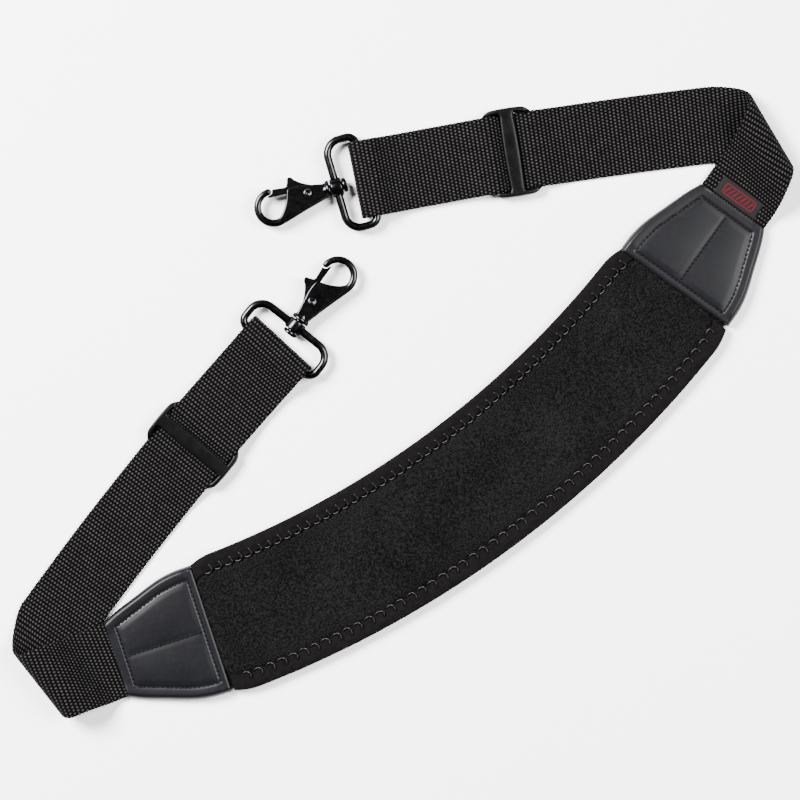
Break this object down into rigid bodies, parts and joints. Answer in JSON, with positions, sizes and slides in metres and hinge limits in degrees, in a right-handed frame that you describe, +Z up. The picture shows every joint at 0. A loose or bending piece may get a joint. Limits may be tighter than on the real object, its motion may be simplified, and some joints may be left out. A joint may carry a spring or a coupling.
{
  "type": "camera neck strap",
  "caption": "Curved padded camera neck strap lying flat, with webbing arms folded back under themselves, sliders, rings and swivelling trigger snaps.",
  "frame": {"origin": "middle of the pad's underside, where it lies on the table", "axes": "+X along the pad's chord towards the arm with the label, +Y across the pad towards the snaps, +Z up from the table"},
  "size_m": [0.4585, 0.2165, 0.0166],
  "materials": {
    "neoprene": "matte fine knit over foam",
    "edge_tape": "matte folded woven tape",
    "cap_vinyl": "smooth semi-gloss vinyl",
    "webbing": "coarse matte weave",
    "label": "fine woven tag",
    "slider_plastic": "satin moulded",
    "black_metal": "glossy black plating",
    "rivet_steel": "glossy dark plating"
  },
  "bodies": {
    "strap": {"pad": "neoprene", "binding_inner": "edge_tape", "binding_outer": "edge_tape", "cap_right": "cap_vinyl", "cap_left": "cap_vinyl", "webbing_right": "webbing", "webbing_left": "webbing", "label_tag": "label", "slider_right": "slider_plastic", "slider_left": "slider_plastic"},
    "ring_right": {"ring_right": "black_metal"},
    "snap_right": {"snap_right": "black_metal", "rivet_right": "rivet_steel"},
    "gate_right": {"gate_right": "black_metal"},
    "ring_left": {"ring_left": "black_metal"},
    "snap_left": {"snap_left": "black_metal", "rivet_left": "rivet_steel"},
    "gate_left": {"gate_left": "black_metal"}
  },
  "joints": [
    {"name": "ring_right_swing", "type": "hinge", "parent": "strap", "child": "ring_right", "pos_m": [0.05161, 0.1552, 0.0049], "axis": [0.3414, 0.9399, 0], "range_deg": [0, 140]},
    {"name": "snap_right_swivel", "type": "hinge", "parent": "ring_right", "child": "snap_right", "pos_m": [0.03714, 0.16046, 0.0049], "axis": [-0.9399, 0.3414, 0], "continuous": true},
    {"name": "gate_right_open", "type": "hinge", "parent": "snap_right", "child": "gate_right", "pos_m": [0.02372, 0.16629, 0.0049], "axis": [0, 0, 1], "range_deg": [0, 28], "stiffness_Nm_per_rad": 0.05, "springref_deg": -11.46},
    {"name": "ring_left_swing", "type": "hinge", "parent": "strap", "child": "ring_left", "pos_m": [-0.03506, 0.11319, 0.0049], "axis": [0.2543, -0.9671, 0], "range_deg": [0, 140]},
    {"name": "snap_left_swivel", "type": "hinge", "parent": "ring_left", "child": "snap_left", "pos_m": [-0.02017, 0.1171, 0.0049], "axis": [0.9671, 0.2543, 0], "continuous": true},
    {"name": "gate_left_open", "type": "hinge", "parent": "snap_left", "child": "gate_left", "pos_m": [-0.00628, 0.12169, 0.0049], "axis": [0, 0, -1], "range_deg": [0, 28], "stiffness_Nm_per_rad": 0.05, "springref_deg": -11.46}
  ]
}
